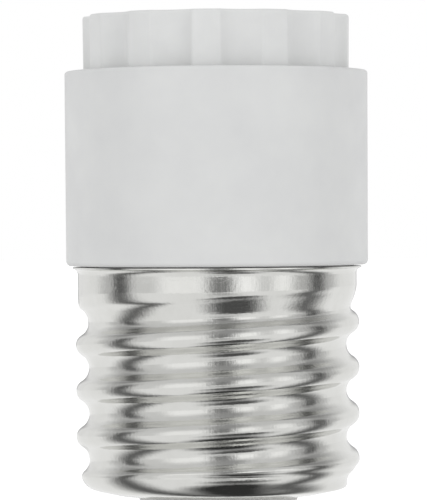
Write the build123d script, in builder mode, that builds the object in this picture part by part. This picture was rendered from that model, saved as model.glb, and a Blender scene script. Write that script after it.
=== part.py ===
from build123d import *
import os
from math import ceil, degrees, radians, tan

# Lamp socket adapter: a large Edison screw plug below, a medium Edison screw lamp socket above.
# Millimetres, +Z up, origin at the middle of the plug's centre contact, front towards -Y.

# Stack, from the plug's contact up to the socket's rim
contact_thickness = 1.2
insulator_drop = 4.7
base_shell_length = 31.4
base_lip_gap = 0.2
sleeve_length = 26.9
neck_length = 7.7

# Plug shell: rolled sheet with the large round thread, radii on its outside
base_crest_radius = 19.7
base_thread_depth = 1.8
base_pitch = 6.35
base_crest_round = 1.6
base_sheet = 0.4
base_crest_drop = 7.7
base_band_inset = 0.35
base_band_length = 2.5
base_band_runout = 6.4
base_lip_length = 1.0
base_lip_edge = 0.2
base_lip_flare = 0.68
base_end_inset = 0.75
base_end_round = 2.4
base_end_height = 2.0
base_end_taper = 2.2
base_cone_width = 4.35
base_cone_angle = 12.0
base_end_flat = 3.1

# Lamp shell: rolled sheet with the medium round thread, radii on its inside
lamp_crest_radius = 13.35
lamp_thread_depth = 1.1
lamp_pitch = 3.629
lamp_crest_round = 1.02
lamp_sheet = 0.35
lamp_shell_length = 24.0
lamp_band_step = 0.15
lamp_band_length = 1.6
lamp_band_runout = 2.2
lamp_end_step = 0.3
lamp_end_round = 0.8
lamp_end_height = 1.6
lamp_end_taper = 1.4
lamp_flange_width = 0.9
lamp_ear_width = 6.0
lamp_ear_margin = 0.5
lamp_ear_round = 1.2

# Fluted core: the moulded socket body
socket_mouth_depth = 7.6
mouth_step = 0.3
shell_clearance = 0.15
core_wall = 4.5
neck_gap = 0.5
core_draft = 0.3
core_rim_round = 0.4
mouth_chamfer = 0.7
core_floor_thickness = 3.0
core_flange_height = 2.0
core_flange_clearance = 0.1
flute_count = 12
flute_depth = 1.2
flute_radius = 5.0
flute_phase = 11.0
flute_edge_round = 0.8
skirt_wall = 1.8
barb_reach = 0.9
barb_height = 1.1
barb_land = 0.4
barb_gap = 0.2
barb_clearance = 0.4
finger_count = 4
finger_angle = 36.0
finger_phase = 45.0
finger_slot = 1.6
barb_angle = 30.0

# Outer sleeve
sleeve_overhang = 1.6
sleeve_draft = 0.08
sleeve_wall = 1.95
sleeve_top_round = 0.4
sleeve_bore_round = 0.3
sleeve_bottom_round = 0.6
shoulder_thickness = 2.5
skirt_clearance = 0.2
spigot_end_gap = 0.1
spigot_clearance = 0.1
spigot_chamfer = 0.4

# Plug insulator and centre contact
insulator_tip_radius = 9.6
insulator_tip_round = 0.6
insulator_end_clearance = 0.2
insulator_flange_height = 3.0
insulator_flange_clearance = 0.3
insulator_corner_clearance = 0.3
insulator_pocket_radius = 8.0
insulator_floor = 3.0
contact_radius = 8.2
contact_edge_round = 0.5
shank_radius = 2.2
shank_bore_radius = 1.2
shank_clearance = 0.1
clinch_overhang = 1.4
clinch_thickness = 0.6
solder_radius = 3.0
solder_recess = 0.5
solder_flush_gap = 0.15
solder_length = 1.4
solder_clearance = 0.05

# Centre contact leaf of the socket
leaf_thickness = 0.4
leaf_width = 6.0
leaf_foot_margin = 0.2
leaf_bend_x = -4.4
leaf_crown_half = 1.6
leaf_height = 4.5
leaf_tip_x = 3.6
leaf_tip_height = 3.0
leaf_bend_radius = 1.0
leaf_corner_round = 1.0

# Rivets, crimp tags and leads
rivet_radius = 1.0
rivet_clearance = 0.08
rivet_head_radius = 1.5
rivet_head_height = 0.6
rivet_head_chamfer = 0.25
shell_rivet_clearance = 0.1
tag_thickness = 0.5
tag_eye_radius = 2.3
tag_tail_radius = 1.4
tag_length = 4.2
barrel_wall = 0.6
barrel_length = 4.5
conductor_radius = 0.45
conductor_clearance = 0.05
insulation_wall = 0.5
lead_stop = 0.6
notch_width = 1.3
notch_depth = 1.4

# Routes of the two leads: heights as shares of the hollow, depths in lead diameters below the skirt
live_sway = 2.6
live_rise_share = 0.2
live_right_share = 0.45
live_left_share = 0.7
live_under_share = 0.9
neutral_drop_depth = 1.8
neutral_low_depth = 2.8
neutral_turn_depth = 2.0
neutral_enter_height = 0.7
neutral_cover_share = 0.55
lead_bend_share = 0.45

# How far forms pass each other: past an open face, and as a share of a thread's depth
overcut = 1.0
thread_overlap_share = 0.25

# Shares of a band's run-out, below the band: where crests start to fall, are level with it, dive under it
crest_fall_share = 0.7
crest_level_share = 0.47
crest_dive_share = 0.12

# Levels worked out from the stack
shell_end_z = contact_thickness + insulator_drop
shell_top_z = shell_end_z + base_shell_length
sleeve_bottom_z = shell_top_z + base_lip_gap
sleeve_top_z = sleeve_bottom_z + sleeve_length
rim_z = sleeve_top_z + neck_length
lamp_top_z = rim_z - socket_mouth_depth
lamp_floor_z = lamp_top_z - lamp_shell_length
floor_bottom_z = lamp_floor_z - core_floor_thickness
shoulder_top_z = sleeve_bottom_z + shoulder_thickness
flange_top_z = shoulder_top_z + core_flange_height
spigot_bottom_z = shell_top_z - base_band_length + spigot_end_gap
barb_top_z = spigot_bottom_z - barb_gap
skirt_bottom_z = barb_top_z - barb_height
insulator_seat_z = shell_end_z + base_sheet
insulator_top_z = insulator_seat_z + insulator_flange_height
insulator_floor_z = contact_thickness + insulator_floor
solder_top_z = solder_recess + solder_length
tag_bottom_z = floor_bottom_z - tag_thickness

# Radii and places worked out from what each piece fits
base_root_radius = base_crest_radius - base_thread_depth
base_band_radius = base_crest_radius - base_band_inset
base_end_radius = base_crest_radius - base_end_inset
base_flat_radius = base_end_radius - base_cone_width
base_end_opening = base_flat_radius - base_end_flat
base_corner_z = shell_end_z + base_cone_width * tan(radians(base_cone_angle))
base_lip_radius = base_band_radius + base_lip_flare
band_inner_radius = base_band_radius - base_sheet
base_inner_radius = base_root_radius - base_sheet
spigot_radius = band_inner_radius - spigot_clearance
barb_radius = base_inner_radius - barb_clearance
skirt_radius = barb_radius - barb_reach
skirt_inner_radius = skirt_radius - skirt_wall
shoulder_hole_radius = skirt_radius + skirt_clearance
lamp_root_radius = lamp_crest_radius - lamp_thread_depth
lamp_band_radius = lamp_crest_radius + lamp_band_step
lamp_end_radius = lamp_root_radius - lamp_end_step
lamp_flange_radius = lamp_end_radius - lamp_flange_width
seat_bore_radius = lamp_band_radius + lamp_sheet + shell_clearance
mouth_radius = seat_bore_radius + mouth_step

# The sleeve is as wide as the plug's band or the socket's core asks, whichever is more
bore_over_plug = base_band_radius + sleeve_overhang - sleeve_wall
bore_round_socket = seat_bore_radius + core_wall + neck_gap
sleeve_bore_radius = max(bore_over_plug, bore_round_socket)
sleeve_bottom_radius = sleeve_bore_radius + sleeve_wall
sleeve_top_radius = sleeve_bottom_radius + sleeve_draft
core_flange_radius = sleeve_bore_radius - core_flange_clearance
core_rim_radius = sleeve_bore_radius - neck_gap
rim_edge_limit = (core_rim_radius - flute_depth - mouth_radius) / 3
insulator_collar_radius = base_end_opening - insulator_end_clearance
insulator_flange_radius = base_inner_radius - insulator_flange_clearance
insulator_flange_chamfer = base_end_round - base_sheet + insulator_corner_clearance
insulator_seat_radius = base_flat_radius - insulator_corner_clearance
leaf_rivet_x = leaf_bend_x - leaf_bend_radius - rivet_head_radius
leaf_foot_x = leaf_rivet_x - rivet_head_radius - leaf_foot_margin
shell_rivet_y = lamp_end_radius - lamp_end_round - shell_rivet_clearance - rivet_head_radius
rivet_hole_radius = rivet_radius + rivet_clearance
lead_radius = conductor_radius + insulation_wall
lead_diameter = 2 * lead_radius
barrel_bore_radius = conductor_radius + conductor_clearance
pinch_radius = band_inner_radius - conductor_clearance - conductor_radius
live_tail_x = leaf_rivet_x + tag_length
neutral_tail_y = shell_rivet_y - tag_length


def thread_ring(crest, root, pitch, crest_round, crest_z, low_z, high_z, core):
    """A ring of bore radius core with a right-hand round thread outside, covering low_z to high_z.
    The crest and root are tangent arcs, and a crest passes (crest, 0, crest_z)."""
    depth = crest - root
    both_rounds = (depth**2 + (pitch / 2) ** 2) / (2 * depth)
    share = crest_round / both_rounds
    meet_radius = crest - crest_round + share * (both_rounds - depth)
    meet_z = share * pitch / 2
    first_z = crest_z - pitch * ceil((crest_z - low_z) / pitch + 1)
    crests = ceil((high_z - first_z) / pitch) + 1
    last_z = first_z + pitch * (crests - 1)
    with BuildPart() as half:
        with BuildSketch(Plane.XZ):
            with BuildLine():
                for turn in range(crests):
                    z = first_z + turn * pitch
                    ThreePointArc((meet_radius, z - meet_z), (crest, z), (meet_radius, z + meet_z))
                    if turn < crests - 1:
                        ThreePointArc(
                            (meet_radius, z + meet_z),
                            (root, z + pitch / 2),
                            (meet_radius, z + pitch - meet_z),
                        )
                Polyline(
                    (meet_radius, last_z + meet_z),
                    (core, last_z + meet_z),
                    (core, first_z - meet_z),
                    (meet_radius, first_z - meet_z),
                )
            make_face()
        with BuildLine():
            Helix(pitch, pitch / 2, crest)
        sweep(is_frenet=True)
    with BuildPart() as ring:
        add(half.part)
        add(half.part.moved(Location((0, 0, pitch / 2), (0, 0, 180))))
    return ring.part


def screw_form(
    crest, root, pitch, crest_round, crest_z, end_outline, end_round, end_height, end_taper,
    band_radius, band_length, band_runout, high_z,
):
    """The solid that one side of a rolled screw shell wraps: a thread that dies out in a closing end
    below and in a plain band above. The closing end's outline runs from its hole out to its corner."""
    core, low_z = end_outline[0]
    end_radius, corner_z = end_outline[-1]
    band_z = high_z - band_length
    runout_z = band_z - band_runout
    buried = (crest - root) * thread_overlap_share
    outside = crest + buried
    with BuildPart() as form:
        add(thread_ring(crest, root, pitch, crest_round, crest_z, low_z, high_z, core - overcut))
        with BuildSketch(Plane.XZ):
            with BuildLine():
                Polyline(
                    *end_outline,
                    (end_radius, corner_z + end_height),
                    (outside, corner_z + end_height + end_taper),
                    (outside, band_z - band_runout * crest_fall_share),
                    (band_radius, band_z - band_runout * crest_level_share),
                    (band_radius, band_z - band_runout * crest_dive_share),
                    (band_radius - buried, band_z + band_runout * crest_dive_share / 2),
                    (band_radius - buried, high_z - band_length / 2),
                    (core, high_z - band_length / 2),
                    close=True,
                )
            make_face()
            fillet(vertices().sort_by_distance(end_outline[-1])[0], end_round)
        revolve(axis=Axis.Z, mode=Mode.INTERSECT)
        with BuildSketch(Plane.XZ):
            with BuildLine():
                Bezier(
                    (band_radius, band_z),
                    (band_radius, band_z - band_runout / 2),
                    (root - buried, runout_z + band_runout / 2),
                    (root - buried, runout_z),
                )
                Polyline(
                    (root - buried, runout_z),
                    (core, runout_z),
                    (core, high_z),
                    (band_radius, high_z),
                    (band_radius, band_z),
                )
            make_face()
        revolve(axis=Axis.Z)
    return form.part


def base_form(inset, core, high_z):
    """The plug shell's outside at inset 0, and its inside at an inset of the sheet."""
    flat_shift = inset * tan(radians(base_cone_angle / 2))
    corner_shift = inset * tan(radians(45 - base_cone_angle / 2))
    return screw_form(
        base_crest_radius - inset,
        base_root_radius - inset,
        base_pitch,
        base_crest_round - inset,
        shell_top_z - base_crest_drop,
        [
            (core, shell_end_z + inset),
            (base_flat_radius - flat_shift, shell_end_z + inset),
            (base_end_radius - inset, base_corner_z + corner_shift),
        ],
        base_end_round - inset,
        base_end_height,
        base_end_taper,
        base_band_radius - inset,
        base_band_length + high_z - shell_top_z,
        base_band_runout,
        high_z,
    )


def lamp_form(outset, core, high_z):
    """The lamp shell's inside at outset 0, and its outside at an outset of the sheet."""
    low_z = lamp_floor_z + lamp_sheet - outset
    return screw_form(
        lamp_crest_radius + outset,
        lamp_root_radius + outset,
        lamp_pitch,
        lamp_crest_round + outset,
        lamp_top_z - lamp_pitch,
        [(core, low_z), (lamp_end_radius + outset, low_z)],
        lamp_end_round + outset,
        lamp_end_height,
        lamp_end_taper,
        lamp_band_radius + outset,
        lamp_band_length + high_z - lamp_top_z,
        lamp_band_runout,
        high_z,
    )


def corner_radii(points):
    """For each corner of a lead's route, the largest easy bend that its two runs leave room for."""
    radii = []
    for before, corner, after in zip(points, points[1:], points[2:]):
        arriving = corner - before
        leaving = after - corner
        shorter = min(arriving.length, leaving.length)
        half_turn = radians(arriving.get_angle(leaving)) / 2
        radii.append(lead_bend_share * shorter / tan(half_turn))
    return radii


def lead(route, covered):
    """An insulated lead: its conductor runs along the whole route, its insulation along the covered one."""
    covered_corners = len(covered) - 2
    radii = corner_radii(covered) + corner_radii(route)[covered_corners:]
    with BuildPart() as wire:
        for run, radius in ((route, conductor_radius), (covered, lead_radius)):
            with BuildLine():
                path = FilletPolyline(*run, radius=radii[: len(run) - 2])
            with BuildSketch(Plane(path @ 0, z_dir=path % 0)):
                Circle(radius)
            sweep(path=path)
    return wire.part


def rivet(low_z, high_z):
    """A rivet on the Z axis whose two heads grip the stack from low_z to high_z."""
    with BuildPart() as pin:
        with BuildSketch(Plane.XZ):
            with BuildLine():
                Polyline(
                    (0, low_z - rivet_head_height),
                    (rivet_head_radius, low_z - rivet_head_height),
                    (rivet_head_radius, low_z),
                    (rivet_radius, low_z),
                    (rivet_radius, high_z),
                    (rivet_head_radius, high_z),
                    (rivet_head_radius, high_z + rivet_head_height),
                    (0, high_z + rivet_head_height),
                    close=True,
                )
            make_face()
            rims = vertices().group_by(Axis.X)[-1].sort_by(Axis.Y)
            chamfer([rims[0], rims[-1]], rivet_head_chamfer)
        revolve(axis=Axis.Z)
    return pin.part


def crimp_tag():
    """A tag under the core's floor, eye on the Z axis, tail and crimp barrel towards +X."""
    with BuildPart() as tag:
        with BuildSketch(Plane.XY.offset(tag_bottom_z)):
            with BuildSketch():
                Circle(tag_eye_radius)
                with Locations((tag_length, 0)):
                    Circle(tag_tail_radius)
                make_hull()
            Circle(rivet_hole_radius, mode=Mode.SUBTRACT)
        extrude(amount=tag_thickness)
        with BuildSketch(Plane.XY.offset(tag_bottom_z)):
            with Locations((tag_length, 0)):
                Circle(barrel_bore_radius + barrel_wall)
                Circle(barrel_bore_radius, mode=Mode.SUBTRACT)
        extrude(amount=-barrel_length)
    return tag.part


# Plug shell
with BuildPart() as base_shell:
    add(base_form(0, base_end_opening, shell_top_z))
    with BuildSketch(Plane.XZ):
        with BuildLine():
            TangentArc(
                (base_band_radius, shell_top_z - base_lip_length),
                (base_lip_radius, shell_top_z - base_lip_edge),
                tangent=(0, 1),
            )
            Polyline(
                (base_lip_radius, shell_top_z - base_lip_edge),
                (base_lip_radius, shell_top_z),
                (base_end_opening, shell_top_z),
                (base_end_opening, shell_top_z - base_lip_length),
                (base_band_radius, shell_top_z - base_lip_length),
            )
        make_face()
    revolve(axis=Axis.Z)
    inside = base_form(base_sheet, base_end_opening - overcut, shell_top_z + overcut)
    add(inside, mode=Mode.SUBTRACT)
base_shell.part.label = "base_shell"

# Lamp shell, with two ears on its floor for the rivets
with BuildPart() as lamp_shell:
    add(lamp_form(lamp_sheet, lamp_flange_radius, lamp_top_z))
    inside = lamp_form(0, lamp_flange_radius - overcut, lamp_top_z + overcut)
    add(inside, mode=Mode.SUBTRACT)
    with BuildSketch(Plane.XY.offset(lamp_floor_z)):
        ear_root_y = lamp_flange_radius + lamp_flange_width / 2
        ear_end_y = shell_rivet_y - rivet_head_radius - lamp_ear_margin
        ear_middle_y = (ear_root_y + ear_end_y) / 2
        with Locations((0, ear_middle_y), (0, -ear_middle_y)):
            Rectangle(lamp_ear_width, ear_root_y - ear_end_y)
        fillet(vertices().group_by(lambda corner: abs(corner.Y))[0], lamp_ear_round)
    extrude(amount=lamp_sheet)
    with BuildSketch(Plane.XY.offset(lamp_floor_z)):
        with Locations((0, shell_rivet_y), (0, -shell_rivet_y)):
            Circle(rivet_hole_radius)
    extrude(amount=lamp_sheet, mode=Mode.SUBTRACT)
lamp_shell.part.label = "lamp_shell"

# Fluted core: one barb, then the turned body, its flutes, slots and holes
with BuildPart() as barb:
    with BuildSketch(Plane.XZ):
        with BuildLine():
            Polyline(
                (skirt_radius - skirt_wall / 2, barb_top_z),
                (barb_radius, barb_top_z),
                (barb_radius, barb_top_z - barb_land),
                (skirt_radius, skirt_bottom_z),
                (skirt_radius - skirt_wall / 2, skirt_bottom_z),
                close=True,
            )
        make_face()
    revolve(axis=Axis.Z, revolution_arc=barb_angle)

with BuildPart() as fluted_core:
    with BuildSketch(Plane.XZ):
        with BuildLine():
            Polyline(
                (0, floor_bottom_z),
                (skirt_inner_radius, floor_bottom_z),
                (skirt_inner_radius, skirt_bottom_z),
                (skirt_radius, skirt_bottom_z),
                (skirt_radius, shoulder_top_z),
                (core_flange_radius, shoulder_top_z),
                (core_flange_radius, flange_top_z),
                (core_rim_radius - core_draft, flange_top_z),
                (core_rim_radius, rim_z),
                (mouth_radius, rim_z),
                (mouth_radius, lamp_top_z + shell_clearance),
                (seat_bore_radius, lamp_top_z + shell_clearance),
                (seat_bore_radius, lamp_floor_z),
                (0, lamp_floor_z),
                close=True,
            )
        make_face()
    revolve(axis=Axis.Z)
    with BuildSketch(Plane.XY.offset(rim_z)):
        flute_axis = core_rim_radius - flute_depth + flute_radius
        with PolarLocations(flute_axis, flute_count, start_angle=flute_phase):
            Circle(flute_radius)
    extrude(amount=flange_top_z - rim_z, mode=Mode.SUBTRACT)
    flute_walls = faces(Select.LAST).filter_by(GeomType.CYLINDER)
    flute_edges = [edge for wall in flute_walls for edge in wall.edges()]
    fillet([edge for edge in flute_edges if edge.bounding_box().size.Z > neck_length], flute_edge_round)
    fillet(faces().sort_by(Axis.Z)[-1].outer_wire().edges(), min(core_rim_round, rim_edge_limit))
    chamfer(faces().sort_by(Axis.Z)[-1].inner_wires()[0].edges(), min(mouth_chamfer, rim_edge_limit))
    with PolarLocations(0, finger_count, start_angle=finger_phase - barb_angle / 2):
        add(barb.part)
    with BuildSketch(Plane.XY.offset(skirt_bottom_z)):
        slot_angle = finger_angle / 2 + degrees(finger_slot / 2 / skirt_radius)
        slot_reach = skirt_wall + barb_reach + overcut
        for side in (-slot_angle, slot_angle):
            with PolarLocations(skirt_radius, finger_count, start_angle=finger_phase + side):
                Rectangle(slot_reach * 2, finger_slot)
    extrude(amount=floor_bottom_z - skirt_bottom_z, mode=Mode.SUBTRACT)
    with BuildSketch(Plane.XY.offset(floor_bottom_z)):
        with Locations((leaf_rivet_x, 0), (0, shell_rivet_y), (0, -shell_rivet_y)):
            Circle(rivet_hole_radius)
    extrude(amount=core_floor_thickness, mode=Mode.SUBTRACT)
fluted_core.part.label = "fluted_core"

# Outer sleeve, with a notch in its spigot for the neutral lead's bare end
with BuildPart() as outer_sleeve:
    with BuildSketch(Plane.XZ):
        with BuildLine():
            Polyline(
                (shoulder_hole_radius, spigot_bottom_z),
                (spigot_radius, spigot_bottom_z),
                (spigot_radius, sleeve_bottom_z),
                (sleeve_bottom_radius, sleeve_bottom_z),
                (sleeve_top_radius, sleeve_top_z),
                (sleeve_bore_radius, sleeve_top_z),
                (sleeve_bore_radius, shoulder_top_z),
                (shoulder_hole_radius, shoulder_top_z),
                close=True,
            )
        make_face()
        top_corners = vertices().group_by(Axis.Y)[-1].sort_by(Axis.X)
        fillet(top_corners[0], sleeve_bore_round)
        fillet(vertices().group_by(Axis.X)[-1], sleeve_top_round)
        bottom_corners = vertices().group_by(Axis.Y)[1].sort_by(Axis.X)
        fillet(bottom_corners[-1], sleeve_bottom_round)
        chamfer(vertices().group_by(Axis.Y)[0].sort_by(Axis.X)[-1], spigot_chamfer)
    revolve(axis=Axis.Z)
    with BuildSketch(Plane.XY.offset(spigot_bottom_z)):
        with Locations((0, spigot_radius + overcut / 2 - notch_depth / 2)):
            Rectangle(notch_width, notch_depth + overcut)
    extrude(amount=sleeve_bottom_z - spigot_bottom_z, mode=Mode.SUBTRACT)
outer_sleeve.part.label = "outer_sleeve"

# Plug insulator
with BuildPart() as base_insulator:
    with BuildSketch(Plane.XZ):
        with BuildLine():
            Polyline(
                (shank_radius + shank_clearance, contact_thickness),
                (insulator_tip_radius, contact_thickness),
                (insulator_collar_radius, shell_end_z),
                (insulator_collar_radius, insulator_seat_z),
                (insulator_seat_radius, insulator_seat_z),
                (insulator_flange_radius, insulator_seat_z + insulator_flange_chamfer),
                (insulator_flange_radius, insulator_top_z),
                (insulator_pocket_radius, insulator_top_z),
                (insulator_pocket_radius, insulator_floor_z),
                (shank_radius + shank_clearance, insulator_floor_z),
                close=True,
            )
        make_face()
        fillet(vertices().group_by(Axis.Y)[0].sort_by(Axis.X)[-1], insulator_tip_round)
    revolve(axis=Axis.Z)
base_insulator.part.label = "base_insulator"

# Plug centre contact, its hollow shank clinched over the insulator's floor
with BuildPart() as base_contact:
    with BuildSketch(Plane.XZ):
        with BuildLine():
            Polyline(
                (shank_bore_radius, solder_recess),
                (solder_radius, solder_recess),
                (solder_radius, 0),
                (contact_radius, 0),
                (contact_radius, contact_thickness),
                (shank_radius, contact_thickness),
                (shank_radius, insulator_floor_z),
                (shank_radius + clinch_overhang, insulator_floor_z),
                (shank_radius + clinch_overhang, insulator_floor_z + clinch_thickness),
                (shank_bore_radius, insulator_floor_z + clinch_thickness),
                close=True,
            )
        make_face()
        fillet(vertices().group_by(Axis.Y)[0].sort_by(Axis.X)[-1], contact_edge_round)
    revolve(axis=Axis.Z)
base_contact.part.label = "base_contact"

# Solder in the contact's recess
with BuildPart() as contact_solder:
    with BuildSketch(Plane.XZ):
        with BuildLine():
            Polyline(
                (0, solder_flush_gap),
                (solder_radius - solder_clearance, solder_flush_gap),
                (solder_radius - solder_clearance, solder_recess),
                (shank_bore_radius - solder_clearance, solder_recess),
                (shank_bore_radius - solder_clearance, solder_top_z),
                (0, solder_top_z),
                close=True,
            )
        make_face()
    revolve(axis=Axis.Z)
contact_solder.part.label = "contact_solder"

# Springy contact leaf
leaf_foot_z = lamp_floor_z + leaf_thickness / 2
leaf_crown_z = lamp_floor_z + leaf_height - leaf_thickness / 2
with BuildPart() as contact_leaf:
    with BuildSketch(Plane.XZ):
        with BuildLine():
            FilletPolyline(
                (leaf_foot_x, leaf_foot_z),
                (leaf_bend_x, leaf_foot_z),
                (-leaf_crown_half, leaf_crown_z),
                (leaf_crown_half, leaf_crown_z),
                (leaf_tip_x, lamp_floor_z + leaf_tip_height),
                radius=leaf_bend_radius,
            )
        trace(line_width=leaf_thickness)
    extrude(amount=leaf_width / 2, both=True)
    end_corners = [
        edge
        for end in (faces().sort_by(Axis.X)[0], faces().sort_by(Axis.X)[-1])
        for edge in end.edges()
        if edge.length < leaf_width / 2
    ]
    fillet(end_corners, leaf_corner_round)
    with BuildSketch(Plane.XY.offset(lamp_floor_z)):
        with Locations((leaf_rivet_x, 0)):
            Circle(rivet_hole_radius)
    extrude(amount=leaf_thickness, mode=Mode.SUBTRACT)
contact_leaf.part.label = "contact_leaf"

# Rivets: one through leaf, floor and live tag, two through the shell's ears and the floor
with BuildPart() as leaf_rivet:
    with Locations((leaf_rivet_x, 0)):
        add(rivet(tag_bottom_z, lamp_floor_z + leaf_thickness))
leaf_rivet.part.label = "leaf_rivet"

with BuildPart() as shell_rivets:
    with Locations((0, shell_rivet_y)):
        add(rivet(tag_bottom_z, lamp_floor_z + lamp_sheet))
    with Locations((0, -shell_rivet_y)):
        add(rivet(floor_bottom_z, lamp_floor_z + lamp_sheet))
shell_rivets.part.label = "shell_rivets"

# Crimp tags
with BuildPart() as live_tag:
    with Locations((leaf_rivet_x, 0)):
        add(crimp_tag())
live_tag.part.label = "live_tag"

with BuildPart() as neutral_tag:
    with Locations(Location((0, shell_rivet_y, 0), (0, 0, -90))):
        add(crimp_tag())
neutral_tag.part.label = "neutral_tag"

# Live lead: from the solder up through the shank, in an easy S to the live tag's barrel
hollow_height = tag_bottom_z - barrel_length - insulator_top_z
live_rise_z = insulator_top_z + hollow_height * live_rise_share
live_right_z = insulator_top_z + hollow_height * live_right_share
live_left_z = insulator_top_z + hollow_height * live_left_share
live_under_z = insulator_top_z + hollow_height * live_under_share
live_start = Vector(0, 0, solder_top_z)
live_rise = Vector(0, 0, live_rise_z)
live_right = Vector(live_sway, -live_sway / 2, live_right_z)
live_left = Vector(live_tail_x - live_sway / 2, live_sway / 2, live_left_z)
live_under = Vector(live_tail_x, 0, live_under_z)
live_end = Vector(live_tail_x, 0, tag_bottom_z - lead_stop)
live_cover_start = Vector(0, 0, insulator_floor_z + clinch_thickness + lead_stop)
live_cover_end = Vector(live_tail_x, 0, tag_bottom_z - barrel_length - conductor_clearance)
with BuildPart() as live_lead:
    add(
        lead(
            [live_start, live_rise, live_right, live_left, live_under, live_end],
            [live_cover_start, live_rise, live_right, live_left, live_under, live_cover_end],
        )
    )
live_lead.part.label = "live_lead"

# Neutral lead: down from its tag, under the skirt, its bare end up between spigot and plug shell
neutral_low_y = (neutral_tail_y + skirt_radius) / 2
neutral_roof_z = min(skirt_bottom_z, tag_bottom_z - barrel_length + lead_radius)
neutral_start = Vector(0, neutral_tail_y, tag_bottom_z - lead_stop)
neutral_drop = Vector(0, neutral_tail_y, neutral_roof_z - lead_diameter * neutral_drop_depth)
neutral_low = Vector(0, neutral_low_y, neutral_roof_z - lead_diameter * neutral_low_depth)
neutral_turn_y = skirt_radius - lead_radius / 2
neutral_turn = Vector(0, neutral_turn_y, neutral_roof_z - lead_diameter * neutral_turn_depth)
neutral_enter = Vector(0, pinch_radius, spigot_bottom_z + neutral_enter_height)
neutral_end = Vector(0, pinch_radius, sleeve_bottom_z - lead_stop)
neutral_cover_start = Vector(0, neutral_tail_y, tag_bottom_z - barrel_length - conductor_clearance)
neutral_cover_end = neutral_turn + (neutral_enter - neutral_turn) * neutral_cover_share
with BuildPart() as neutral_lead:
    add(
        lead(
            [neutral_start, neutral_drop, neutral_low, neutral_turn, neutral_enter, neutral_end],
            [neutral_cover_start, neutral_drop, neutral_low, neutral_turn, neutral_cover_end],
        )
    )
neutral_lead.part.label = "neutral_lead"

# One STEP file for each piece
os.makedirs("parts", exist_ok=True)
export_step(outer_sleeve.part, "parts/outer_sleeve.step")
export_step(fluted_core.part, "parts/fluted_core.step")
export_step(base_shell.part, "parts/base_shell.step")
export_step(base_insulator.part, "parts/base_insulator.step")
export_step(base_contact.part, "parts/base_contact.step")
export_step(contact_solder.part, "parts/contact_solder.step")
export_step(lamp_shell.part, "parts/lamp_shell.step")
export_step(shell_rivets.part, "parts/shell_rivets.step")
export_step(contact_leaf.part, "parts/contact_leaf.step")
export_step(leaf_rivet.part, "parts/leaf_rivet.step")
export_step(live_tag.part, "parts/live_tag.step")
export_step(neutral_tag.part, "parts/neutral_tag.step")
export_step(live_lead.part, "parts/live_lead.step")
export_step(neutral_lead.part, "parts/neutral_lead.step")
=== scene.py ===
from math import asin, cos, hypot, pi, radians, sin, sqrt, tan

import bmesh
import bpy
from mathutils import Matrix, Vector


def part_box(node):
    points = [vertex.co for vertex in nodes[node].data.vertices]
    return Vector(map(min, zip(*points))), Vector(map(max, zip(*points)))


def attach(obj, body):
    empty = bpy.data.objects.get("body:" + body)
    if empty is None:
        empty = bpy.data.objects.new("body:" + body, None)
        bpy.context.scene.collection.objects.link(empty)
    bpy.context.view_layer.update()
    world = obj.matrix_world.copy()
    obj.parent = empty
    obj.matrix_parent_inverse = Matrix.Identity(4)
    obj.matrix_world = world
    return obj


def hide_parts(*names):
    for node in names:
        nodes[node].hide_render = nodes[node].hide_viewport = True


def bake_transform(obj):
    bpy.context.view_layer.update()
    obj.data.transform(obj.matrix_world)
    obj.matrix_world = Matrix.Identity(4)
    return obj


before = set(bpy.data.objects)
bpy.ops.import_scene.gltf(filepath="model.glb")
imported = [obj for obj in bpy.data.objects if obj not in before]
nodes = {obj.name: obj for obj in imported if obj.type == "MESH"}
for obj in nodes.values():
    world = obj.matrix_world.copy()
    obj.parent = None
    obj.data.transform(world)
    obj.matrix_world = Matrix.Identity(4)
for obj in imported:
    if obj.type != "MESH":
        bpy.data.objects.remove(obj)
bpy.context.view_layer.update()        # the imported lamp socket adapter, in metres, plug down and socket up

mm = 0.001
hair = 0.001 * mm     # two places this near are the same
print("frame loaded:", len(nodes), "CAD nodes")


# small helpers for working as by hand

def deselectAll():
    if bpy.context.mode != "OBJECT":
        bpy.ops.object.mode_set(mode="OBJECT")
    bpy.ops.object.select_all(action="DESELECT")


def pick(piece):
    deselectAll()
    piece.select_set(True)
    bpy.context.view_layer.objects.active = piece


def newPiece(name):
    piece = bpy.context.active_object     # the primitive that was just added
    piece.name = name
    piece.data.name = name
    return piece


def selectFaces(piece, wanted):
    pick(piece)
    bpy.ops.object.mode_set(mode="EDIT")
    bpy.ops.mesh.select_mode(type="FACE")
    bpy.ops.mesh.select_all(action="DESELECT")
    mesh = bmesh.from_edit_mesh(piece.data)
    for face in mesh.faces:
        face.select_set(all(wanted(vertex.co) for vertex in face.verts))
    bmesh.update_edit_mesh(piece.data)


def settle(piece, smoothAngle):
    pick(piece)
    bpy.ops.object.transform_apply(location=True, rotation=True, scale=True)
    for modifier in list(piece.modifiers):
        bpy.ops.object.modifier_apply(modifier=modifier.name)
    bpy.ops.object.shade_smooth_by_angle(angle=radians(smoothAngle))
    deselectAll()


def softMin(a, b, reach):
    near = max(reach - abs(a - b), 0) / reach
    return min(a, b) - near * near * reach / 4


def softMax(a, b, reach):
    return -softMin(-a, -b, reach)


def between(first, last, steps):
    # evenly spaced points after the first, up to the last
    return [first + (last - first) * step / steps for step in range(1, steps + 1)]


# rolled screw shells: a round thread that dies out in a closing end below and a plain band above

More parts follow.
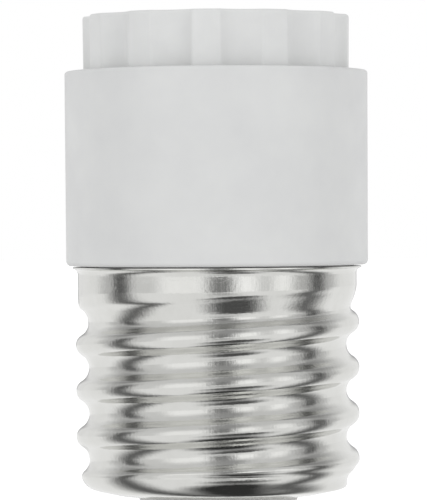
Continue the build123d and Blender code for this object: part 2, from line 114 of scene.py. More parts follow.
def threadRadius(angle, z, form):
    # crests and valleys are arcs that meet on the flanks
    depth = form["crest"] - form["root"]
    half = form["pitch"] / 2
    bothRounds = (depth ** 2 + half ** 2) / (2 * depth)
    rootRound = bothRounds - form["crestRound"]
    meet = half * form["crestRound"] / bothRounds
    climb = z - form["crestZ"] - form["pitch"] * angle / (2 * pi)
    fromCrest = abs((climb + half) % form["pitch"] - half)
    if fromCrest < meet:
        return form["crest"] - form["crestRound"] + sqrt(form["crestRound"] ** 2 - fromCrest ** 2)
    return form["root"] + rootRound - sqrt(rootRound ** 2 - (half - fromCrest) ** 2)


def endLimit(z, cornerZ, form):
    # above its corner the closing end is a plain wall, then opens out to let the thread through
    past = max(z - cornerZ - form["endHeight"], 0)
    slope = (form["crest"] + form["spare"] - form["endRadius"]) / form["endTaper"]
    return form["endRadius"] + past * slope


def lipRound(form):
    rise = form["lipLength"] - form["lipEdge"]
    return (rise ** 2 + form["lipFlare"] ** 2) / (2 * form["lipFlare"])


def lipFlareAt(up, form):
    return lipRound(form) - sqrt(max(lipRound(form) ** 2 - up ** 2, 0))


def bandReach(z, form):
    # the plain band, its flared lip above and its run-out into the valleys below
    lipZ = form["highZ"] - form["lipLength"]
    bandZ = form["highZ"] - form["bandLength"]
    if form["lipFlare"] and z > lipZ:
        up = min(z - lipZ, form["lipLength"] - form["lipEdge"])
        return form["bandRadius"] + lipFlareAt(up, form)
    share = max((bandZ - z) / form["bandRunout"], 0)
    if share > 1:
        return 0
    fall = form["bandRadius"] - form["root"] + form["spare"]
    return form["bandRadius"] - fall * share ** 2 * (3 - 2 * share)


def crestLimit(z, form):
    # crests come down to the band's radius, stay there for a stretch and then dive under the band
    bandZ = form["highZ"] - form["bandLength"]
    runout = form["bandRunout"]
    steps = [
        (bandZ - runout * form["crestFall"], form["crest"] + form["spare"]),
        (bandZ - runout * form["crestLevel"], form["bandRadius"]),
        (bandZ - runout * form["crestDive"], form["bandRadius"]),
        (bandZ + runout * form["crestDive"] / 2, form["bandRadius"] - form["spare"]),
    ]
    for (lowZ, lowRadius), (highZ, highRadius) in zip(steps, steps[1:]):
        if z < highZ:
            share = max(z - lowZ, 0) / (highZ - lowZ)
            return lowRadius + (highRadius - lowRadius) * share
    return steps[-1][1]


def sheetRadius(angle, z, limit, form):
    radius = threadRadius(angle, z, form)
    radius = softMin(radius, crestLimit(z, form), form["soft"])
    radius = softMin(radius, limit, form["soft"])
    return softMax(radius, bandReach(z, form), form["soft"])


def sheetRows(form):
    # rows down one side of the sheet, each a height and the radius that the closing end allows there
    cone = radians(form["coneAngle"])
    cornerZ = form["lowZ"] + form["coneWidth"] * tan(cone)
    centreZ = cornerZ + form["endRound"] * tan(pi / 4 - cone / 2)
    centreRadius = form["endRadius"] - form["endRound"]
    flatRadius = form["endRadius"] - form["coneWidth"]

    heights = [form["highZ"]]
    if form["lipFlare"]:
        lipTurn = asin((form["lipLength"] - form["lipEdge"]) / lipRound(form))
        lipZ = form["highZ"] - form["lipLength"]
        heights.append(form["highZ"] - form["lipEdge"])
        heights += [lipZ + lipRound(form) * sin(turn) for turn in between(lipTurn, 0, form["lipSteps"])]
    heights += between(heights[-1], centreZ, round((heights[-1] - centreZ) / form["rowStep"]))
    rows = [(z, endLimit(z, cornerZ, form)) for z in heights]

    for turn in between(0, pi / 2 - cone, form["cornerSteps"]):
        rows.append((centreZ - form["endRound"] * sin(turn), centreRadius + form["endRound"] * cos(turn)))
    coneZ, coneRadius = rows[-1]
    coneHeights = between(coneZ, form["lowZ"], form["coneSteps"])
    rows += zip(coneHeights, between(coneRadius, flatRadius, form["coneSteps"]))
    for radius in between(flatRadius, form["opening"], form["flatSteps"]):
        rows.append((form["lowZ"], radius))
    return rows


def otherSide(form, shift, rowStep):
    # the sheet's other side, further out by the shift, without the lip
    moved = dict(form, lowZ=form["lowZ"] - shift, lipFlare=0, rowStep=rowStep)
    for size in ("crest", "root", "crestRound", "bandRadius", "endRadius", "endRound"):
        moved[size] = form[size] + shift
    moved["coneWidth"] = form["coneWidth"] + shift * (1 - tan(radians(form["coneAngle"] / 2)))
    return moved


def rollShell(name, outside, inside):
    # a flat sheet, rolled: down its outside to the hole in its end, up its inside, and closed at its edges
    rows = [(z, limit, outside) for z, limit in sheetRows(outside)]
    rows += [(z, limit, inside) for z, limit in reversed(sheetRows(inside))]
    rows.append(rows[0])
    steps = len(rows) - 1
    half = outside["crest"]
    deselectAll()
    bpy.ops.mesh.primitive_grid_add(x_subdivisions=outside["segments"], y_subdivisions=steps, size=2 * half)
    shell = newPiece(name)
    for vertex in shell.data.vertices:
        angle = pi * vertex.co.x / half
        z, limit, form = rows[round((half - vertex.co.y) / (2 * half) * steps)]
        radius = sheetRadius(angle, z, limit, form)
        vertex.co = (radius * cos(angle), radius * sin(angle), z)
    bpy.ops.object.mode_set(mode="EDIT")
    bpy.ops.mesh.select_all(action="SELECT")
    bpy.ops.mesh.remove_doubles(threshold=hair)
    bpy.ops.mesh.normals_make_consistent(inside=False)
    bpy.ops.object.mode_set(mode="OBJECT")
    return shell


# plug shell, its sizes on the outside

plugLow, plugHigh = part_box("base_shell")
plugShell = {
    "crest": 19.7 * mm,
    "root": 17.9 * mm,
    "pitch": 6.35 * mm,
    "crestRound": 1.6 * mm,
    "crestZ": plugHigh.z - 7.7 * mm,     # a crest passes +X at this height
    "lowZ": plugLow.z,
    "highZ": plugHigh.z,
    "bandRadius": 19.35 * mm,
    "bandLength": 2.5 * mm,
    "bandRunout": 6.4 * mm,
    "crestFall": 0.7,                    # shares of the run-out
    "crestLevel": 0.47,
    "crestDive": 0.12,
    "lipLength": 1.0 * mm,
    "lipEdge": 0.2 * mm,
    "lipFlare": 0.68 * mm,
    "endRadius": 19.15 * mm,
    "endRound": 2.5 * mm,
    "endHeight": 2.6 * mm,
    "endTaper": 0.9 * mm,
    "coneWidth": 4.55 * mm,
    "coneAngle": 12.0,
    "opening": 11.5 * mm,
    "spare": 0.45 * mm,                  # how far one form stands clear where another one shows
    "soft": 0.6 * mm,                    # width of the creases where two forms meet
    "sheet": 0.4 * mm,
    "segments": 256,
    "rowStep": 0.25 * mm,
    "hiddenStep": 0.6 * mm,              # rows on the side that nobody sees
    "lipSteps": 8,
    "cornerSteps": 8,
    "coneSteps": 4,
    "flatSteps": 3,
    "smoothAngle": 75,
}

plugInside = otherSide(plugShell, -plugShell["sheet"], plugShell["hiddenStep"])
plug = rollShell("plugShell", plugShell, plugInside)
settle(plug, plugShell["smoothAngle"])
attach(plug, "adapter")
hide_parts("base_shell")
print("plug shell rolled:", len(plug.data.polygons), "faces")


# lamp shell, its sizes on the inside, with two ears on the floor for the rivets

lampLow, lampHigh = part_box("lamp_shell")
lampShell = {
    "crest": 13.35 * mm,
    "root": 12.25 * mm,
    "pitch": 3.629 * mm,
    "crestRound": 1.02 * mm,
    "crestZ": lampHigh.z - 3.629 * mm,
    "lowZ": lampLow.z + 0.35 * mm,       # the floor's upper face, one sheet up
    "highZ": lampHigh.z,
    "bandRadius": 13.5 * mm,
    "bandLength": 1.6 * mm,
    "bandRunout": 2.2 * mm,
    "crestFall": 0.7,
    "crestLevel": 0.47,
    "crestDive": 0.12,
    "lipLength": 0,
    "lipFlare": 0,
    "endRadius": 11.95 * mm,
    "endRound": 0.8 * mm,
    "endHeight": 1.6 * mm,
    "endTaper": 1.4 * mm,
    "coneWidth": 0.85 * mm,
    "coneAngle": 0.0,
    "opening": 11.05 * mm,
    "spare": 0.28 * mm,
    "soft": 0.2 * mm,
    "sheet": 0.35 * mm,
    "segments": 192,
    "rowStep": 0.2 * mm,
    "hiddenStep": 0.5 * mm,
    "cornerSteps": 5,
    "coneSteps": 1,
    "flatSteps": 1,
    "earHalf": 3.0 * mm,
    "earEnd": 7.55 * mm,
    "earRound": 1.2 * mm,
    "smoothAngle": 75,
}


def pullEar(shell, form, side):
    # the edge of the hole in the floor is drawn in to a rounded ear
    def onEar(point):
        onEdge = abs(hypot(point.x, point.y) - form["opening"]) < hair
        return onEdge and abs(point.x) < form["earHalf"] and point.y * side > 0

    selectFaces(shell, onEar)
    bpy.ops.mesh.extrude_region_move()
    mesh = bmesh.from_edit_mesh(shell.data)
    for vertex in mesh.verts:
        if vertex.select:
            past = max(abs(vertex.co.x) - form["earHalf"] + form["earRound"], 0)
            corner = form["earRound"] - sqrt(max(form["earRound"] ** 2 - past ** 2, 0))
            vertex.co.y = side * (form["earEnd"] + corner)
    bmesh.update_edit_mesh(shell.data)
    bpy.ops.object.mode_set(mode="OBJECT")


lampOutside = otherSide(lampShell, lampShell["sheet"], lampShell["hiddenStep"])
lamp = rollShell("lampShell", lampOutside, lampShell)
for side in (1, -1):
    pullEar(lamp, lampShell, side)
settle(lamp, lampShell["smoothAngle"])
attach(lamp, "adapter")
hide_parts("lamp_shell")
print("lamp shell rolled:", len(lamp.data.polygons), "faces")


# springy contact leaf: a strip with rounded ends, bent along its path

leafLow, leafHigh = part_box("contact_leaf")
leafStrip = {
    "thickness": 0.4 * mm,
    "bendX": -4.4 * mm,
    "crownHalf": 1.6 * mm,
    "tipX": 3.6 * mm,
    "tipRise": 3.0 * mm,
    "bendRadius": 1.0 * mm,
    "endRound": 1.0 * mm,
    "roundSteps": 6,
    "cuts": 90,
    "edgeBevel": 0.08 * mm,
    "edgeSteps": 2,
    "edgeAngle": 60,
    "smoothAngle": 40,
    "blendHalf": 1.2 * mm,      # the bend turns over this much on each side of its corner
    "blendRise": 1.8 * mm,
}


def bentPath(corners, radius):
    # straight runs and tangent arcs as (start, heading, length, bend) pieces in the XZ plane
    pieces = []
    start = corners[0]
    for before, corner, after in zip(corners, corners[1:], corners[2:]):
        arriving = (corner - before).normalized()
        leaving = (after - corner).normalized()
        turn = arriving.angle_signed(leaving)     # clockwise counts as positive
        cut = radius * tan(abs(turn) / 2)
        arc = radius * abs(turn)
        pieces.append((start, arriving, (corner - start).length - cut, 0))
        pieces.append((corner - arriving * cut, arriving, arc, -turn / arc))
        start = corner + leaving * cut
    heading = (corners[-1] - start).normalized()
    pieces.append((start, heading, (corners[-1] - start).length, 0))
    return pieces


def pointOnPath(pieces, along):
    for start, heading, length, bend in pieces:
        if along <= length:
            break
        along -= length
    along = min(along, length)
    if bend == 0:
        return start + heading * along
    left = Vector((-heading.y, heading.x))
    turn = bend * along
    return start + heading * (sin(turn) / bend) + left * ((1 - cos(turn)) / bend)


footZ = leafLow.z + leafStrip["thickness"] / 2
crownZ = leafHigh.z - leafStrip["thickness"] / 2
leafPath = bentPath(
    [
        Vector((leafLow.x, footZ)),
        Vector((leafStrip["bendX"], footZ)),
        Vector((-leafStrip["crownHalf"], crownZ)),
        Vector((leafStrip["crownHalf"], crownZ)),
        Vector((leafStrip["tipX"], leafLow.z + leafStrip["tipRise"])),
    ],
    leafStrip["bendRadius"],
)
leafLength = sum(length for start, heading, length, bend in leafPath)
leafWidth = leafHigh.y - leafLow.y
deselectAll()
bpy.ops.mesh.primitive_plane_add(size=1, location=(leafLength / 2, 0, 0))
leaf = newPiece("contactLeaf")
leaf.scale = (leafLength, leafWidth, 1)
bpy.ops.object.transform_apply(location=True, rotation=True, scale=True)
bpy.ops.object.mode_set(mode="EDIT")
bpy.ops.mesh.select_all(action="SELECT")
bpy.ops.mesh.bevel(affect="VERTICES", offset=leafStrip["endRound"], segments=leafStrip["roundSteps"])
for cut in range(1, leafStrip["cuts"]):
    bpy.ops.mesh.select_all(action="SELECT")
    bpy.ops.mesh.bisect(plane_co=(leafLength * cut / leafStrip["cuts"], 0, 0), plane_no=(1, 0, 0))
bpy.ops.object.mode_set(mode="OBJECT")
for vertex in leaf.data.vertices:
    place = pointOnPath(leafPath, min(max(vertex.co.x, 0), leafLength))
    vertex.co = (place.x, vertex.co.y, place.y)
wall = leaf.modifiers.new("strip", "SOLIDIFY")
wall.thickness = leafStrip["thickness"]
wall.offset = 0
edge = leaf.modifiers.new("edges", "BEVEL")
edge.width = leafStrip["edgeBevel"]
edge.segments = leafStrip["edgeSteps"]
edge.limit_method = "ANGLE"
edge.angle_limit = radians(leafStrip["edgeAngle"])
settle(leaf, leafStrip["smoothAngle"])
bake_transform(leaf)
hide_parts("contact_leaf")
print("contact leaf bent:", len(leaf.data.polygons), "faces, %.1f mm of strip" % (leafLength / mm))


# shader helpers

noiseSpan = (0.3, 0.7)          # most values of a noise lie between these
twoNoisesSpan = (0.7, 1.3)      # and most sums of two


def setSocket(tree, socket, value):
    # a number is set, and what comes from another node is linked
    if isinstance(value, (int, float)):
        socket.default_value = value
    else:
        tree.links.new(value, socket)


def mathNode(tree, operation, first, second=0.0):
    node = tree.nodes.new("ShaderNodeMath")
    node.operation = operation
    setSocket(tree, node.inputs[0], first)
    setSocket(tree, node.inputs[1], second)
    return node.outputs[0]


def lengthOf(tree, x, y):
    squares = mathNode(tree, "ADD", mathNode(tree, "MULTIPLY", x, x), mathNode(tree, "MULTIPLY", y, y))
    return mathNode(tree, "SQRT", squares)


def objectPlace(tree):
    return tree.nodes.new("ShaderNodeTexCoord").outputs["Object"]


def splitPlace(tree, place):
    node = tree.nodes.new("ShaderNodeSeparateXYZ")
    tree.links.new(place, node.inputs[0])
    return node.outputs


def joinPlace(tree, x, y, z):
    node = tree.nodes.new("ShaderNodeCombineXYZ")
    for socket, value in zip(node.inputs, (x, y, z)):
        setSocket(tree, socket, value)
    return node.outputs[0]


def turnsAbout(tree, apart):
    # turns about the axis, from the front to the right
    angle = mathNode(tree, "ARCTAN2", apart["X"], mathNode(tree, "MULTIPLY", apart["Y"], -1.0))
    return mathNode(tree, "DIVIDE", angle, 2 * pi)


def noiseAt(tree, place, scale, detail, roughness):
    node = tree.nodes.new("ShaderNodeTexNoise")
    tree.links.new(place, node.inputs["Vector"])
    setSocket(tree, node.inputs["Scale"], scale)
    node.inputs["Detail"].default_value = detail
    node.inputs["Roughness"].default_value = roughness
    return node.outputs["Fac"]


def rangeOf(tree, value, low, high, span=noiseSpan, fade="LINEAR"):
    # takes the span to the range from low to high
    node = tree.nodes.new("ShaderNodeMapRange")
    node.interpolation_type = fade
    node.inputs["From Min"].default_value, node.inputs["From Max"].default_value = span
    node.inputs["To Min"].default_value = low
    node.inputs["To Max"].default_value = high
    tree.links.new(value, node.inputs["Value"])
    return node.outputs["Result"]


def mixColours(tree, factor, first, second):
    node = tree.nodes.new("ShaderNodeMix")
    node.data_type = "RGBA"
    colours = [socket for socket in node.inputs if socket.type == "RGBA"]
    for socket, colour in zip(colours, (first, second)):
        socket.default_value = (*colour, 1)
    tree.links.new(factor, node.inputs["Factor"])
    return next(socket for socket in node.outputs if socket.type == "RGBA")


def bumpFrom(tree, height, strength, distance):
    node = tree.nodes.new("ShaderNodeBump")
    node.inputs["Strength"].default_value = strength
    node.inputs["Distance"].default_value = distance
    tree.links.new(height, node.inputs["Height"])
    return node.outputs["Normal"]


# shader node groups

rolledMarks = {
    "aroundScale": 60.0,        # streaks change slowly round the axis
    "alongScale": 90.0,         # draw lines change slowly along it
    "axisGuard": 0.1 * mm,      # they are cut short this near to it
}


def newGroup(name, inputs, outputs):
    group = bpy.data.node_groups.new(name, "ShaderNodeTree")
    for socket in inputs:
        group.interface.new_socket(name=socket, in_out="INPUT", socket_type="NodeSocketFloat")
    for socket in outputs:
        group.interface.new_socket(name=socket, in_out="OUTPUT", socket_type="NodeSocketFloat")
    return group, group.nodes.new("NodeGroupInput").outputs, group.nodes.new("NodeGroupOutput").inputs


def buildMouldedSkin():
    # satin skin of a moulding: fine grain for the bump, slow clouds for tone and gloss
    group, given, result = newGroup("mouldedSkin", ("Grain Scale", "Cloud Scale"), ("Grain", "Cloud"))
    place = objectPlace(group)
    grain = noiseAt(group, place, given["Grain Scale"], detail=2.0, roughness=0.6)
    cloud = noiseAt(group, place, given["Cloud Scale"], detail=4.0, roughness=0.55)
    group.links.new(grain, result["Grain"])
    group.links.new(cloud, result["Cloud"])
    return group


def buildRolledSkin():
    # rolled or pressed sheet: streaks that follow the thread, draw lines along the axis, a fine orange peel
    # and slow stains
    group, given, result = newGroup(
        "rolledSkin",
        ("Lead", "Streak Scale", "Draw Lines", "Peel Scale", "Stain Scale"),
        ("Streak", "Draw", "Peel", "Stain"),
    )
    place = objectPlace(group)
    apart = splitPlace(group, place)

    rise = mathNode(group, "MULTIPLY", turnsAbout(group, apart), given["Lead"])
    climb = mathNode(group, "SUBTRACT", apart["Z"], rise)
    streakPlace = joinPlace(
        group,
        mathNode(group, "MULTIPLY", apart["X"], rolledMarks["aroundScale"]),
        mathNode(group, "MULTIPLY", apart["Y"], rolledMarks["aroundScale"]),
        mathNode(group, "MULTIPLY", climb, given["Streak Scale"]),
    )

    reach = lengthOf(group, apart["X"], apart["Y"])
    reach = mathNode(group, "MAXIMUM", reach, rolledMarks["axisGuard"])
    lines = mathNode(group, "DIVIDE", given["Draw Lines"], reach)
    drawPlace = joinPlace(
        group,
        mathNode(group, "MULTIPLY", apart["X"], lines),
        mathNode(group, "MULTIPLY", apart["Y"], lines),
        mathNode(group, "MULTIPLY", apart["Z"], rolledMarks["alongScale"]),
    )

    marks = {
        "Streak": noiseAt(group, streakPlace, scale=1.0, detail=3.0, roughness=0.6),
        "Draw": noiseAt(group, drawPlace, scale=1.0, detail=3.0, roughness=0.6),
        "Peel": noiseAt(group, place, given["Peel Scale"], detail=1.0, roughness=0.5),
        "Stain": noiseAt(group, place, given["Stain Scale"], detail=4.0, roughness=0.6),
    }
    for name, mark in marks.items():
        group.links.new(mark, result[name])
    return group


mouldedSkin = buildMouldedSkin()
rolledSkin = buildRolledSkin()
print("shader groups built")


# materials

def startMaterial(name):
    material = bpy.data.materials.new(name)
    material.use_nodes = True
    tree = material.node_tree
    return material, tree, tree.nodes["Principled BSDF"]


def placeGroup(tree, group, values):
    node = tree.nodes.new("ShaderNodeGroup")
    node.node_tree = group
    for socket, value in values.items():
        node.inputs[socket].default_value = value
    return node.outputs


def mouldedPlastic(name, look):
    material, tree, shader = startMaterial(name)
    skin = placeGroup(
        tree, mouldedSkin, {"Grain Scale": look["grainScale"], "Cloud Scale": look["cloudScale"]},
    )
    cloud = rangeOf(tree, skin["Cloud"], 0, 1)
    tree.links.new(mixColours(tree, cloud, look["light"], look["dark"]), shader.inputs["Base Color"])
    gloss = rangeOf(tree, skin["Cloud"], look["glossLow"], look["glossHigh"])
    tree.links.new(gloss, shader.inputs["Roughness"])
    normal = bumpFrom(tree, skin["Grain"], look["bump"], look["bumpHeight"])
    tree.links.new(normal, shader.inputs["Normal"])
    shader.inputs["IOR"].default_value = look["ior"]
    return material


def rolledMetal(name, look):
    material, tree, shader = startMaterial(name)
    skin = placeGroup(
        tree,
        rolledSkin,
        {
            "Lead": look["lead"],
            "Streak Scale": look["streakScale"],
            "Draw Lines": look["drawLines"],
            "Peel Scale": look["peelScale"],
            "Stain Scale": look["stainScale"],
        },
    )
    stain = rangeOf(tree, skin["Stain"], 0, 1)
    tree.links.new(mixColours(tree, stain, look["bright"], look["stained"]), shader.inputs["Base Color"])
    marks = mathNode(tree, "ADD", skin["Streak"], skin["Draw"])
    gloss = rangeOf(tree, marks, look["glossLow"], look["glossHigh"], twoNoisesSpan)
    tree.links.new(gloss, shader.inputs["Roughness"])
    lines = mathNode(tree, "MULTIPLY", skin["Draw"], look["drawDepth"])
    height = mathNode(tree, "ADD", mathNode(tree, "ADD", skin["Streak"], lines), skin["Peel"])
    normal = bumpFrom(tree, height, look["bump"], look["bumpHeight"])
    tree.links.new(normal, shader.inputs["Normal"])
    shader.inputs["Metallic"].default_value = 1.0
    return material


def dress(piece, material):
    if not piece.material_slots:
        piece.data.materials.append(material)
    for slot in piece.material_slots:
        slot.material = material


sleeveLook = {
    "light": (0.715, 0.722, 0.718),
    "dark": (0.672, 0.678, 0.680),
    "grainScale": 4500.0,
    "cloudScale": 130.0,
    "glossLow": 0.42,
    "glossHigh": 0.52,
    "bump": 0.12,
    "bumpHeight": 0.02 * mm,
    "ior": 1.46,
}
coreLook = dict(sleeveLook, light=(0.745, 0.753, 0.748), dark=(0.705, 0.711, 0.709), cloudScale=180.0)
insulatorLook = dict(sleeveLook, light=(0.70, 0.70, 0.68), dark=(0.64, 0.64, 0.62), cloudScale=240.0)
liveLook = dict(sleeveLook, light=(0.105, 0.045, 0.022), dark=(0.085, 0.036, 0.018), cloudScale=500.0)
neutralLook = dict(sleeveLook, light=(0.022, 0.075, 0.27), dark=(0.018, 0.06, 0.22), cloudScale=500.0)
dress(nodes["outer_sleeve"], mouldedPlastic("sleeveWhite", sleeveLook))
dress(nodes["fluted_core"], mouldedPlastic("coreWhite", coreLook))
dress(nodes["base_insulator"], mouldedPlastic("insulatorWhite", insulatorLook))
dress(nodes["live_lead"], mouldedPlastic("liveBrown", liveLook))
dress(nodes["neutral_lead"], mouldedPlastic("neutralBlue", neutralLook))

plugLook = {
    "bright": (0.735, 0.735, 0.715),
    "stained": (0.69, 0.69, 0.665),
    "lead": plugShell["pitch"],
    "streakScale": 2600.0,
    "drawLines": 300.0,
    "drawDepth": 0.45,          # against the streaks
    "peelScale": 2200.0,
    "stainScale": 240.0,
    "glossLow": 0.08,
    "glossHigh": 0.15,
    "bump": 0.4,
    "bumpHeight": 0.03 * mm,
}
lampLook = dict(
    plugLook, lead=lampShell["pitch"], bright=(0.78, 0.765, 0.72), stained=(0.71, 0.69, 0.64),
    drawLines=130.0,
)
leafLook = dict(plugLook, bright=(0.80, 0.62, 0.33), stained=(0.70, 0.50, 0.24), lead=0, streakScale=900.0)
contactLook = dict(plugLook, lead=0, bright=(0.79, 0.64, 0.36), stained=(0.66, 0.50, 0.27), glossHigh=0.38)
rivetLook = dict(plugLook, lead=0, bright=(0.74, 0.69, 0.58), stained=(0.64, 0.58, 0.47), glossHigh=0.35)
tagLook = dict(plugLook, lead=0, bright=(0.73, 0.715, 0.67), stained=(0.62, 0.60, 0.55), glossHigh=0.4)
solderLook = dict(
    plugLook, lead=0, bright=(0.66, 0.665, 0.67), stained=(0.50, 0.50, 0.50), glossLow=0.28, glossHigh=0.5,
    bump=0.6, bumpHeight=0.05 * mm,
)
dress(plug, rolledMetal("plugNickel", plugLook))
dress(lamp, rolledMetal("lampNickel", lampLook))
dress(leaf, rolledMetal("leafBrass", leafLook))
dress(nodes["base_contact"], rolledMetal("contactBrass", contactLook))
dress(nodes["contact_solder"], rolledMetal("solderTin", solderLook))
rivetPlate = rolledMetal("rivetPlate", rivetLook)
for rivet in ("leaf_rivet", "shell_rivets"):
    dress(nodes[rivet], rivetPlate)
tagTinned = rolledMetal("tagTinned", tagLook)
for tag in ("live_tag", "neutral_tag"):
    dress(nodes[tag], tagTinned)
print("materials placed")


# floor, world and lamps

studio = {
    "floorSize": 6.0,
    "floorColour": (0.86, 0.86, 0.86),
    "floorRoughness": 0.9,
    "floorLift": 0.45,          # added for camera rays, so that the pale floor reads as white
    "floorMirrorLift": 0.1,     # added for glossy rays, so that the metal mirrors a pale floor
    "worldLight": 0.77,
    "lampSize": 0.45,
    "lampAim": 40 * mm,         # the height that the lamps point at
}
lamps = [
    {"name": "keyLamp", "place": (-0.46, -0.66, 0.30), "power": 1.0},
    {"name": "fillLamp", "place": (0.46, -0.66, 0.26), "power": 0.95},
    {"name": "rimLampLeft", "place": (-0.60, 0.38, 0.20), "power": 0.45},
    {"name": "rimLampRight", "place": (0.60, 0.38, 0.20), "power": 0.45},
]


def layFloor():
    deselectAll()
    bpy.ops.mesh.primitive_plane_add(size=studio["floorSize"], location=(0, 0, 0))
    floor = newPiece("floor")
    material, tree, shader = startMaterial("floorPale")
    shader.inputs["Base Color"].default_value = (*studio["floorColour"], 1)
    shader.inputs["Roughness"].default_value = studio["floorRoughness"]
    shader.inputs["Emission Color"].default_value = (1, 1, 1, 1)
    path = tree.nodes.new("ShaderNodeLightPath").outputs
    seen = mathNode(tree, "MULTIPLY", path["Is Camera Ray"], studio["floorLift"])
    mirrored = mathNode(tree, "MAXIMUM", path["Is Glossy Ray"], path["Is Transmission Ray"])
    mirrored = mathNode(tree, "MULTIPLY", mirrored, studio["floorMirrorLift"])
    tree.links.new(mathNode(tree, "ADD", seen, mirrored), shader.inputs["Emission Strength"])
    dress(floor, material)


def lightWorld():
    world = bpy.data.worlds.new("studioWhite")
    bpy.context.scene.world = world
    world.use_nodes = True
    tree = world.node_tree
    sky = tree.nodes["Background"]
    sky.inputs["Color"].default_value = (1, 1, 1, 1)
    path = tree.nodes.new("ShaderNodeLightPath").outputs
    seen = mathNode(tree, "MAXIMUM", path["Is Camera Ray"], path["Is Glossy Ray"])
    seen = mathNode(tree, "MAXIMUM", seen, path["Is Transmission Ray"])
    level = rangeOf(tree, seen, studio["worldLight"], 1.0, span=(0.0, 1.0))
    tree.links.new(level, sky.inputs["Strength"])


def hangLamp(form):
    deselectAll()
    bpy.ops.object.light_add(type="AREA", location=form["place"])
    light = bpy.context.active_object
    light.name = form["name"]
    light.data.energy = form["power"]
    light.data.size = studio["lampSize"]
    aim = Vector((0, 0, studio["lampAim"])) - Vector(form["place"])
    light.rotation_euler = aim.to_track_quat("-Z", "Y").to_euler()
    light.visible_glossy = False     # the metal mirrors the tent instead


layFloor()
lightWorld()
for lampForm in lamps:
    hangLamp(lampForm)

# a tent round the set and a card on the floor that only the metal mirrors: soft panels, by their angles
# from the front, to the right
walls = [
    {"name": "rearGapLeft", "from": -180, "to": -174, "level": 0.30},
    {"name": "backLeft", "from": -160, "to": -150, "level": 0.86},
    {"name": "leftFar", "from": -140, "to": -120, "level": 0.93},
    {"name": "leftDim", "from": -101, "to": -97, "level": 0.58},
    {"name": "leftGap", "from": -90, "to": -82, "level": 0.12},
    {"name": "leftScreen", "from": -71, "to": -56, "level": 0.74},
    {"name": "leftLight", "from": -40, "to": -14, "level": 1.06},
    {"name": "cameraBody", "from": -1, "to": 8, "level": 0.24},
    {"name": "rightLight", "from": 18, "to": 28, "level": 1.14},
    {"name": "rightScreen", "from": 36, "to": 42, "level": 0.76},
    {"name": "rightEdge", "from": 49, "to": 57, "level": 1.10},
    {"name": "rightDim", "from": 71, "to": 77, "level": 0.56},
    {"name": "rightGap", "from": 86, "to": 92, "level": 0.11},
    {"name": "rightFar", "from": 101, "to": 105, "level": 0.58},
    {"name": "backRight", "from": 120, "to": 160, "level": 0.94},
    {"name": "rearGapRight", "from": 174, "to": 180, "level": 0.30},
]
ceiling = [
    {"name": "backLeft", "from": -180, "to": -145, "level": 0.58},
    {"name": "leftCorner", "from": -118, "to": -106, "level": 0.28},
    {"name": "leftBoard", "from": -85, "to": -25, "level": 0.72},
    {"name": "cameraSide", "from": -2, "to": 14, "level": 0.34},
    {"name": "rightBoard", "from": 35, "to": 85, "level": 0.70},
    {"name": "rightCorner", "from": 104, "to": 118, "level": 0.28},
    {"name": "backRight", "from": 145, "to": 180, "level": 0.58},
]
tent = {
    "radius": 0.6,
    "segments": 64,
    "rings": 32,
    "ceilingSpan": (0.20, 0.46),           # heights between which the walls turn into the ceiling
}
# the card's dark line and shades are painted shadow: they stand in for the object's shadow on the floor
# round its foot and in front of it, as the metal mirrors it
floorCard = {
    "radius": 0.58,
    "corners": 64,
    "lift": 0.5 * mm,
    "shadowLinePlace": -14.5 * mm,               # a painted shadow line runs under the foot from side to side
    "shadowLineLevel": 0.13,
    "shadowLineTilt": 0.035,
    "shadowLineSpread": 5 * mm,                  # it is twice as wide this far from the middle
    "backSpan": (0.0, 2.0 * mm),           # it fades into the card behind and in front of it
    "backLevel": 0.97,
    "frontSpan": (-2.0 * mm, 0.0),
    "frontLevel": 0.92,
    "shadeSpan": (0.45, 1.35),             # where a painted shade fades out, in shares of its reach
    # painted shadow patches round the foot; cameraShade is painted shade further out in front
    "shades": [
        {"name": "frontShade", "place": (12 * mm, -46 * mm), "reach": (20 * mm, 18 * mm), "level": 0.10},
        {"name": "footShade", "place": (3 * mm, -22 * mm), "reach": (11 * mm, 10 * mm), "level": 0.04},
        {"name": "cameraShade", "place": (9 * mm, -170 * mm), "reach": (26 * mm, 110 * mm), "level": 0.50},
        {"name": "rearShade", "place": (-10 * mm, 48 * mm), "reach": (18 * mm, 16 * mm), "level": 0.15},
        {"name": "heelShade", "place": (-2 * mm, 17.5 * mm), "reach": (11 * mm, 5 * mm), "level": 0.15},
    ],
}


def smoothRange(tree, value, span, low, high):
    return rangeOf(tree, value, low, high, span, "SMOOTHSTEP")


def panelLevel(tree, apart, panels):
    # each panel is two stops on a ramp round the axis, so that neighbours fade into each other
    ramp = tree.nodes.new("ShaderNodeValToRGB")
    ramp.color_ramp.interpolation = "EASE"
    stops = ramp.color_ramp.elements
    stops[0].position, stops[1].position = 0, 1
    for panel in panels:
        for angle in (panel["from"], panel["to"]):
            position = angle / 360 + 0.5
            if position == 0:
                stop = stops[0]
            elif position == 1:
                stop = stops[-1]
            else:
                stop = stops.new(position)
            stop.color = (panel["level"], panel["level"], panel["level"], 1)
    tree.links.new(mathNode(tree, "ADD", turnsAbout(tree, apart), 0.5), ramp.inputs["Fac"])
    return ramp.outputs["Color"]


def tentLevel(tree, apart):
    high = smoothRange(tree, apart["Z"], tent["ceilingSpan"], 0.0, 1.0)
    low = mathNode(tree, "SUBTRACT", 1.0, high)
    wallPart = mathNode(tree, "MULTIPLY", panelLevel(tree, apart, walls), low)
    ceilingPart = mathNode(tree, "MULTIPLY", panelLevel(tree, apart, ceiling), high)
    return mathNode(tree, "ADD", wallPart, ceilingPart)
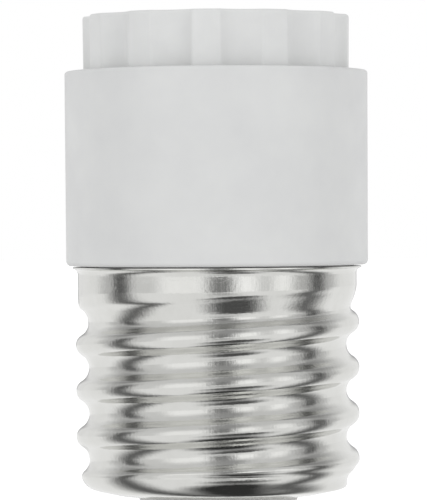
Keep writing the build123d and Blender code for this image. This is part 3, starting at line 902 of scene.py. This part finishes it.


# the card's glow: a pale level, darkened by the painted shadow line and the painted shadow patches
def floorLevel(tree, apart):
    slant = mathNode(tree, "MULTIPLY", apart["X"], floorCard["shadowLineTilt"])
    shadowLineY = mathNode(tree, "ADD", slant, floorCard["shadowLinePlace"])
    aside = mathNode(tree, "ABSOLUTE", apart["X"])
    spread = mathNode(tree, "ADD", mathNode(tree, "DIVIDE", aside, floorCard["shadowLineSpread"]), 1.0)
    past = mathNode(tree, "DIVIDE", mathNode(tree, "SUBTRACT", apart["Y"], shadowLineY), spread)
    back = smoothRange(tree, past, floorCard["backSpan"], floorCard["shadowLineLevel"], floorCard["backLevel"])
    front = smoothRange(tree, past, floorCard["frontSpan"], floorCard["frontLevel"], floorCard["shadowLineLevel"])
    level = mathNode(tree, "MAXIMUM", back, front)
    for shade in floorCard["shades"]:
        offset = [
            mathNode(tree, "DIVIDE", mathNode(tree, "SUBTRACT", apart[axis], middle), reach)
            for axis, middle, reach in zip("XY", shade["place"], shade["reach"])
        ]
        fade = smoothRange(tree, lengthOf(tree, *offset), floorCard["shadeSpan"], shade["level"], 1.0)
        level = mathNode(tree, "MULTIPLY", level, fade)
    return level


def showOnlyToMetal(piece, levelAt):
    material = bpy.data.materials.new(piece.name)
    material.use_nodes = True
    material.cycles.emission_sampling = "NONE"
    tree = material.node_tree
    tree.nodes.clear()
    glow = tree.nodes.new("ShaderNodeEmission")
    tree.links.new(levelAt(tree, splitPlace(tree, objectPlace(tree))), glow.inputs["Strength"])
    out = tree.nodes.new("ShaderNodeOutputMaterial")
    tree.links.new(glow.outputs[0], out.inputs["Surface"])
    dress(piece, material)
    piece.visible_camera = False
    piece.visible_diffuse = False
    piece.visible_shadow = False
    piece.visible_transmission = False


deselectAll()
bpy.ops.mesh.primitive_uv_sphere_add(
    radius=tent["radius"], segments=tent["segments"], ring_count=tent["rings"],
)
showOnlyToMetal(newPiece("tent"), tentLevel)
deselectAll()
bpy.ops.mesh.primitive_circle_add(
    radius=floorCard["radius"], vertices=floorCard["corners"], fill_type="NGON",
)
floorSheet = newPiece("floorCard")
floorSheet.location.z = floorCard["lift"]
showOnlyToMetal(floorSheet, floorLevel)
print("studio set")


# camera, as the photo was taken: level with the sleeve's lower half, a hair aside and rolled

shot = {
    "distance": 500 * mm,
    "height": 44.45 * mm,
    "aside": -0.46 * mm,
    "down": 0.558,
    "roll": 0.36,
    "lens": 259.0,
    "sensor": 36.0,
    "nearest": 10 * mm,
    "farthest": 20.0,
}
deselectAll()
bpy.ops.object.camera_add(
    location=(shot["aside"], -shot["distance"], shot["height"]),
    rotation=(radians(90 - shot["down"]), radians(shot["roll"]), 0),
)
camera = bpy.context.active_object
camera.data.lens = shot["lens"]
camera.data.sensor_width = shot["sensor"]
camera.data.clip_start = shot["nearest"]
camera.data.clip_end = shot["farthest"]
bpy.context.scene.camera = camera
bpy.context.scene.view_settings.view_transform = "Standard"
print("camera placed")

deselectAll()
